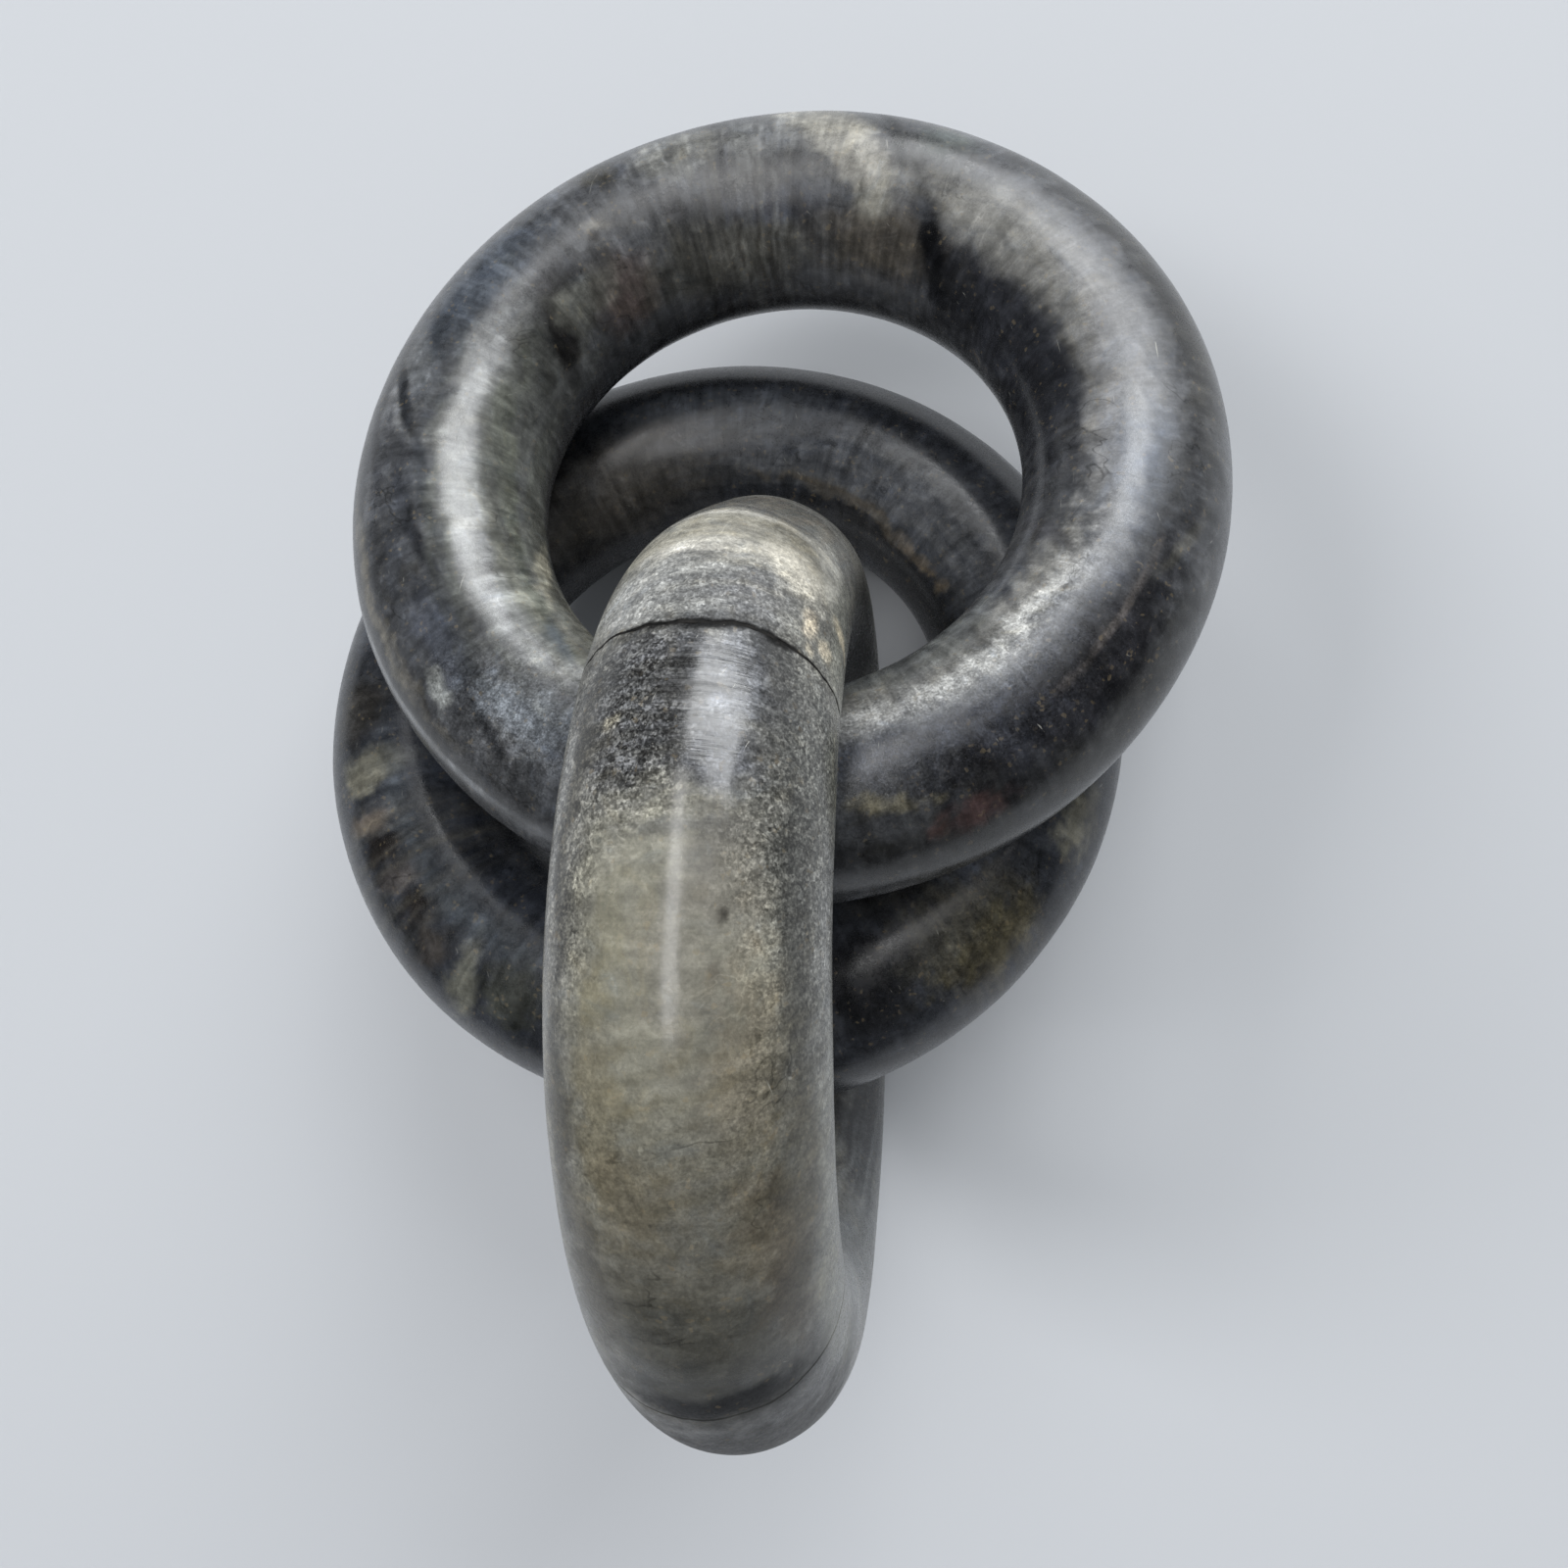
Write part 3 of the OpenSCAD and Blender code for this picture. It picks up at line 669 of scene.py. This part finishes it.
class Nodes:
    """Small helper for writing node trees."""

    def __init__(self, name):
        self.mat = bpy.data.materials.new(name)
        self.mat.use_nodes = True
        self.nt = self.mat.node_tree
        self.out = self.nt.nodes["Principled BSDF"]

    def new(self, kind, **props):
        n = self.nt.nodes.new(kind)
        for k, v in props.items():
            setattr(n, k, v)
        return n

    def put(self, socket, value):
        if isinstance(value, bpy.types.NodeSocket):
            self.nt.links.new(value, socket)
        else:
            socket.default_value = value

    def math(self, op, a, b=None, c=None, clamp=False):
        n = self.new("ShaderNodeMath", operation=op, use_clamp=clamp)
        self.put(n.inputs[0], a)
        if b is not None:
            self.put(n.inputs[1], b)
        if c is not None:
            self.put(n.inputs[2], c)
        return n.outputs[0]

    def vec(self, op, a, b=None, scale=None):
        n = self.new("ShaderNodeVectorMath", operation=op)
        self.put(n.inputs[0], a)
        if b is not None:
            self.put(n.inputs[1], b)
        if scale is not None:
            self.put(n.inputs["Scale"], scale)
        return n.outputs["Value"] if op in ("LENGTH", "DOT_PRODUCT") else n.outputs[0]

    def attribute(self, name, out):
        return self.new("ShaderNodeAttribute", attribute_name=name).outputs[out]

    def noise(self, vector, scale, detail=4.0, rough=0.5, distortion=0.0, w=None, colour=False):
        n = self.new("ShaderNodeTexNoise", noise_dimensions="4D" if w is not None else "3D")
        self.put(n.inputs["Vector"], vector)
        if w is not None:
            self.put(n.inputs["W"], w)
        for k, v in (("Scale", scale), ("Detail", detail), ("Roughness", rough), ("Distortion", distortion)):
            n.inputs[k].default_value = v
        return n.outputs["Color" if colour else "Fac"]

    def cells(self, vector, scale, feature="F1", randomness=1.0):
        n = self.new("ShaderNodeTexVoronoi", voronoi_dimensions="3D", feature=feature)
        self.put(n.inputs["Vector"], vector)
        n.inputs["Scale"].default_value = scale
        n.inputs["Randomness"].default_value = randomness
        return n

    def ramp(self, value, lo, hi, a=0.0, b=1.0, smoothstep=True):
        n = self.new("ShaderNodeMapRange", interpolation_type="SMOOTHSTEP" if smoothstep else "LINEAR", clamp=True)
        self.put(n.inputs["Value"], value)
        for k, v in (("From Min", lo), ("From Max", hi), ("To Min", a), ("To Max", b)):
            n.inputs[k].default_value = v
        return n.outputs["Result"]

    def mix(self, fac, a, b, blend="MIX"):
        n = self.new("ShaderNodeMix", data_type="RGBA", blend_type=blend, clamp_factor=True)
        self.put(n.inputs[0], fac)
        self.put(n.inputs[6], a)
        self.put(n.inputs[7], b)
        return n.outputs[2]


def rgba(*c):
    return (*[float(v) for v in lin(*c)], 1.0)


def stone_material(name, R, offset, grain=1.0, pits=0.0, tone=0.0, stain=(118, 104, 78), ghost=(150, 148, 142)):
    N = Nodes(name)
    base = N.attribute("paint", "Color")
    marks = N.new("ShaderNodeSeparateColor")
    N.put(marks.inputs[0], N.attribute("marks", "Color"))
    speckle, gloss, streak = marks.outputs[0], marks.outputs[1], marks.outputs[2]
    raw = N.attribute("stone", "Vector")
    at = N.vec("ADD", raw, offset)

    # co-ordinates that run along the ring and round its section, for the rubbing marks
    xyz = N.new("ShaderNodeSeparateXYZ")
    N.put(xyz.inputs[0], raw)
    rho = N.math("SQRT", N.math("ADD", N.math("MULTIPLY", xyz.outputs[0], xyz.outputs[0]),
                                N.math("MULTIPLY", xyz.outputs[1], xyz.outputs[1])))
    k = N.math("DIVIDE", R, rho)
    sx, sy = N.math("MULTIPLY", xyz.outputs[0], k), N.math("MULTIPLY", xyz.outputs[1], k)
    cx = N.math("SUBTRACT", rho, R)

    def across(pitch, length, detail, rough, seed):
        """Noise drawn out round the section: pitch mm along the ring, length mm round it."""
        v = N.new("ShaderNodeCombineXYZ")
        N.put(v.inputs[0], N.math("MULTIPLY", sx, 1.0 / pitch))
        N.put(v.inputs[1], N.math("MULTIPLY", sy, 1.0 / pitch))
        N.put(v.inputs[2], N.math("MULTIPLY_ADD", cx, 1.0 / length, seed))
        return N.noise(v.outputs[0], 1.0, detail, rough, 0.0, N.math("MULTIPLY", xyz.outputs[2], 1.0 / length))

    # crystals: each grain of the stone has its own tone
    warp = N.vec("SCALE", N.vec("SUBTRACT", N.noise(at, 0.4, 1.0, colour=True), (0.5, 0.5, 0.5)), scale=0.5)
    at2 = N.vec("ADD", at, warp)
    big = N.cells(at2, 1 / 0.46)
    small = N.cells(at2, 1 / 0.25)
    one = N.new("ShaderNodeSeparateColor")
    N.put(one.inputs[0], big.outputs["Color"])
    two = N.new("ShaderNodeSeparateColor")
    N.put(two.inputs[0], small.outputs["Color"])
    mid = N.noise(at, 1 / 2.4, 7.0, 0.62, 0.6)
    swell = N.noise(at, 1 / 3.5, 1.5, 0.5)
    cloud = N.noise(at, 1 / 9.0, 5.0, 0.6, 0.8)
    rub = across(1.5, 16.0, 5.0, 0.6, 3.0)
    hair = across(0.22, 5.0, 3.0, 0.55, 9.0)

    worn = N.ramp(streak, 0.62, 0.95)
    # stops of light added up, then used as a power of two
    sp = N.math("MULTIPLY_ADD", speckle, 2.9 * grain, 0.05)
    s1 = N.math("MULTIPLY", N.math("SUBTRACT", one.outputs[0], 0.5), N.math("MULTIPLY", sp, 0.75))
    salt = N.noise(at, 1 / 0.28, 2.0, 0.6)
    s2 = N.math("MULTIPLY", N.math("SUBTRACT", two.outputs[0], 0.5), N.math("MULTIPLY", sp, 0.70))
    s2 = N.math("MULTIPLY_ADD", N.math("SUBTRACT", salt, 0.5), N.math("MULTIPLY", sp, 2.3), s2)
    s3 = N.math("MULTIPLY", N.math("SUBTRACT", mid, 0.5), N.math("MULTIPLY_ADD", streak, 3.0, 1.3))
    s4 = N.math("MULTIPLY", N.math("SUBTRACT", cloud, 0.5), N.math("MULTIPLY_ADD", streak, 5.2, 0.5))
    s5 = N.math("MULTIPLY", N.math("SUBTRACT", rub, 0.5), N.math("MULTIPLY_ADD", streak, 4.4, 0.3))
    s6 = N.math("MULTIPLY", N.math("SUBTRACT", hair, 0.5), N.math("MULTIPLY_ADD", worn, 2.0, N.math("MULTIPLY_ADD", speckle, 1.2, 0.30)))
    clump = N.noise(at, 1 / 1.5, 4.0, 0.65)
    s7 = N.math("MULTIPLY", N.math("SUBTRACT", clump, 0.5), N.math("MULTIPLY_ADD", speckle, 3.2, 0.2))
    total = N.math("ADD", s1, tone)
    for t in (s2, s3, s4, s5, s6, s7):
        total = N.math("ADD", total, t)
    total = N.math("MINIMUM", N.math("MAXIMUM", total, -2.0), 1.35)
    col = N.vec("SCALE", base, scale=N.math("POWER", 2.0, total))

    # brown stain in soft clouds, and a cooler cast elsewhere
    tint = N.noise(at, 1 / 5.5, 6.0, 0.62, 1.2)
    warm = N.ramp(tint, 0.52, 0.72, 0.0, 0.40)
    col = N.mix(warm, col, N.vec("MULTIPLY", col, (1.10, 1.02, 0.84)))
    cool = N.ramp(tint, 0.46, 0.30, 0.0, 0.6)
    col = N.mix(cool, col, N.vec("MULTIPLY", col, (0.93, 0.99, 1.10)))

    # single grains: white calcite, black and rusty ones
    pale_pick = N.math("MULTIPLY", N.ramp(two.outputs[1], 0.86, 0.90), N.ramp(small.outputs["Distance"], 0.42, 0.22))
    col = N.mix(N.math("MULTIPLY", pale_pick, N.math("MULTIPLY_ADD", speckle, 0.20, 0.0)), col, rgba(*ghost))
    dark_pick = N.ramp(one.outputs[1], 0.85, 0.89)
    col = N.mix(N.math("MULTIPLY", dark_pick, N.math("MULTIPLY_ADD", speckle, 0.60, 0.0)), col,
                N.vec("SCALE", col, scale=0.42))
    rust_pick = N.math("MULTIPLY", N.ramp(one.outputs[2], 0.93, 0.95), N.ramp(mid, 0.47, 0.60))
    col = N.mix(N.math("MULTIPLY", rust_pick, 0.45), col, N.mix(0.5, col, rgba(*stain)))

    # thin veins where two sheets of noise cross their mean
    sheet = N.noise(N.vec("MULTIPLY", at, (1.0, 1.0, 0.6)), 1 / 17.0, 4.0, 0.55, 1.0)
    where = N.noise(at, 1 / 12.0, 2.0, 0.5)
    line = N.math("ABSOLUTE", N.math("SUBTRACT", sheet, 0.5))
    vein = N.math("MULTIPLY", N.ramp(line, 0.006, 0.0015), N.ramp(where, 0.50, 0.62))
    col = N.mix(N.math("MULTIPLY", vein, 0.7), col, N.vec("SCALE", col, scale=0.42))
    sheet2 = N.noise(N.vec("ADD", at, (40.0, 11.0, 7.0)), 1 / 14.0, 4.0, 0.55, 0.8)
    line2 = N.math("ABSOLUTE", N.math("SUBTRACT", sheet2, 0.5))
    vein2 = N.math("MULTIPLY", N.ramp(line2, 0.010, 0.002), N.ramp(where, 0.48, 0.36))
    col = N.mix(N.math("MULTIPLY", vein2, 0.4), col, N.vec("SCALE", col, scale=1.7))

    # small open pits and a few fine pale scratches
    pit = N.cells(N.vec("ADD", at, (3.0, 8.0, 5.0)), 1 / 3.4)
    pc = N.new("ShaderNodeSeparateColor")
    N.put(pc.inputs[0], pit.outputs["Color"])
    hole = N.math("MULTIPLY", N.ramp(pit.outputs["Distance"], 0.135, 0.06), N.ramp(pc.outputs[0], 1 - pits, 1 - pits + 0.01))
    col = N.mix(N.math("MULTIPLY", hole, 0.75), col, rgba(34, 31, 27))
    skew = N.new("ShaderNodeVectorRotate", rotation_type="EULER_XYZ")
    N.put(skew.inputs["Vector"], at)
    skew.inputs["Rotation"].default_value = (0.5, 0.9, 0.35)
    sc = N.noise(N.vec("MULTIPLY", skew.outputs[0], (1 / 0.20, 1 / 9.0, 1 / 2.2)), 1.0, 2.0, 0.5)
    scratch = N.ramp(sc, 0.735, 0.80)
    col = N.mix(N.math("MULTIPLY", scratch, 0.4), col, rgba(168, 166, 158))

    N.put(N.out.inputs["Base Color"], col)

    # gloss: a worn polish, duller on the grains that tear out, in pits and along rubbing marks
    ro = N.math("MULTIPLY_ADD", N.math("SUBTRACT", mid, 0.5), 0.25, 0.28)
    ro = N.math("MULTIPLY_ADD", N.math("SUBTRACT", two.outputs[2], 0.5), 0.10, ro)
    ro = N.math("MULTIPLY_ADD", N.math("SUBTRACT", 0.5, gloss), 0.25, ro)
    ro = N.math("MULTIPLY_ADD", hole, 0.4, ro)
    ro = N.math("MULTIPLY_ADD", N.math("MULTIPLY", worn, N.math("SUBTRACT", hair, 0.45)), 1.1, ro)
    ro = N.math("MAXIMUM", N.math("MINIMUM", ro, 0.8), 0.15)
    N.put(N.out.inputs["Roughness"], ro)
    N.put(N.out.inputs["Specular IOR Level"], N.ramp(gloss, 0.0, 0.45, 0.10, 0.5))
    N.out.inputs["IOR"].default_value = 1.48

    # relief in mm
    h = N.math("MULTIPLY", N.math("SUBTRACT", two.outputs[0], 0.5), N.math("MULTIPLY_ADD", speckle, 0.004, 0.0006))
    h = N.math("MULTIPLY_ADD", N.math("SUBTRACT", hair, 0.5), N.math("MULTIPLY_ADD", worn, 0.024, N.math("MULTIPLY_ADD", speckle, 0.008, 0.0025)), h)
    h = N.math("MULTIPLY_ADD", N.math("SUBTRACT", swell, 0.5), 0.035, h)
    h = N.math("MULTIPLY_ADD", hole, -0.10, h)
    h = N.math("MULTIPLY_ADD", scratch, -0.006, h)
    bump = N.new("ShaderNodeBump")
    bump.inputs["Strength"].default_value = 1.0
    bump.inputs["Distance"].default_value = MM
    N.put(bump.inputs["Height"], h)
    N.put(N.out.inputs["Normal"], bump.outputs[0])
    return N.mat


def resin_material(name, dark=None, light=None):
    N = Nodes(name)
    at = N.attribute("stone", "Vector")
    n1 = N.noise(at, 1 / 1.6, 5.0, 0.6, 0.8)
    n2 = N.noise(at, 1 / 0.4, 3.0, 0.6)
    if dark:
        col = N.mix(N.ramp(N.math("ADD", n1, N.math("MULTIPLY", n2, 0.35)), 0.45, 0.95), rgba(*dark), rgba(*light))
    else:
        col = N.vec("SCALE", N.attribute("paint", "Color"), scale=N.math("MULTIPLY_ADD", n2, 0.5, 0.57))
    N.put(N.out.inputs["Base Color"], col)
    N.put(N.out.inputs["Roughness"], N.math("MULTIPLY_ADD", n2, 0.4, 0.45))
    N.out.inputs["IOR"].default_value = 1.5
    N.out.inputs["Specular IOR Level"].default_value = 0.12
    b = N.new("ShaderNodeBump")
    b.inputs["Strength"].default_value = 1.0
    b.inputs["Distance"].default_value = MM
    N.put(b.inputs["Height"], N.math("MULTIPLY_ADD", n2, 0.04, N.math("MULTIPLY", n1, 0.06)))
    N.put(N.out.inputs["Normal"], b.outputs[0])
    return N.mat


looks = {
    "upper_stone": stone_material("upper_stone_look", 49.5, (120.0, 5.0, 33.0), 1.0),
    "lower_stone": stone_material("lower_stone_look", 50.9, (7.0, 210.0, 90.0), 0.9, ghost=(110, 108, 98)),
    "middle_stone": stone_material("middle_stone_look", 46.8, (55.0, 71.0, 160.0), 1.1, 0.03, -0.27, ghost=(176, 173, 164)),
    "closing_stone": stone_material("closing_stone_look", 46.8, (55.0, 71.0, 160.0), 1.1, 0.03, -0.27, ghost=(176, 173, 164)),
}

for ob, body, node, slot in ((upper, "upper_link", "upper_link", "upper_stone"),
                             (lower, "lower_link", "lower_link", "lower_stone"),
                             (long_arc, "middle_link", "middle_link_long_arc", "middle_stone"),
                             (closing, "middle_link", "middle_link_closing_arc", "closing_stone")):
    ob.data.materials.append(looks[slot])
    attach(ob, body)
    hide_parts(node)
for ob, node, tones in ((film_rear, "adhesive_joint_rear", ((7, 7, 7), (30, 28, 26))),
                        (film_front, "adhesive_joint_front", ())):
    ob.data.materials.append(resin_material(ob.name + "_look", *tones))
    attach(ob, "middle_link")
    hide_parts(node)

# ---------------------------------------------------------------- floor, light, camera
def look_at(ob, eye, target, up=(0, 0, 1)):
    d = (Vector(target) - Vector(eye)).normalized()
    ob.location = eye
    ob.rotation_euler = d.to_track_quat("-Z", "Y").to_euler()


me = bpy.data.meshes.new("floor")
S = 6.0
me.from_pydata([(-S, -S, 0), (S, -S, 0), (S, S, 0), (-S, S, 0)], [], [(0, 1, 2, 3)])
floor = bpy.data.objects.new("floor", me)
scene.collection.objects.link(floor)
floor.data.materials.append(plain("floor_cloth", (0.365, 0.375, 0.393), 0.9))

world = bpy.data.worlds.new("room")
scene.world = world
world.use_nodes = True
world.node_tree.nodes["Background"].inputs["Color"].default_value = (0.92, 0.96, 1.0, 1)
world.node_tree.nodes["Background"].inputs["Strength"].default_value = 0.56
world.cycles_visibility.glossy = False      # a dark room is what the polished stone mirrors


def area(name, eye, target, sx, sy, watts, color=(1, 1, 1), mirrored=True):
    l = bpy.data.lights.new(name, "AREA")
    l.shape = "RECTANGLE"
    l.size, l.size_y = sx, sy
    l.energy = watts
    l.color = color
    o = bpy.data.objects.new(name, l)
    scene.collection.objects.link(o)
    look_at(o, eye, target)
    o.visible_glossy = mirrored
    return o


mid = Vector(((cad_box[0][0] + cad_box[1][0]) / 2, (cad_box[0][1] + cad_box[1][1]) / 2, 0.04))
area("window", mid + Vector((0.98, 2.5, 1.5)), mid, 2.1, 1.7, 112, (0.97, 0.99, 1.0))
area("ceiling", mid + Vector((-0.04, 0.80, 2.7)), mid + Vector((-0.04, 0.80, 0.0)), 0.5, 3.0, 29)
area("skylight", mid + Vector((0.70, 1.12, 2.66)), mid + Vector((0.70, 1.12, 0.0)), 1.8, 0.4, 4.5)
area("side_fill", mid + Vector((-2.0, 0.3, 2.2)), mid, 1.2, 1.2, 50, mirrored=False)

# camera: the viewing point and axes, in the row frame
cam = bpy.data.cameras.new("camera")
camo = bpy.data.objects.new("camera", cam)
scene.collection.objects.link(camo)
right = Vector((0.98844, -0.00258, -0.15159))
down = Vector((-0.0051, -0.99986, -0.01622))
fwd = Vector((-0.15153, 0.01681, -0.98831))
shift = RINGS["middle"][0] - np.array([0, 0, 60.2])
eye = (Vector((23.582, 18.477, 202.334)) + Vector(shift.tolist())) * MM
mw = Matrix.Identity(4)
for i in range(3):
    mw[i][0], mw[i][1], mw[i][2], mw[i][3] = right[i], -down[i], -fwd[i], eye[i]
camo.matrix_world = mw
cam.sensor_fit = "HORIZONTAL"
cam.sensor_width = 36
cam.lens = 24.066
cam.clip_start = 0.005
cam.clip_end = 50
cam.dof.use_dof = False
scene.camera = camo

scene.view_settings.view_transform = "Standard"
scene.view_settings.look = "None"
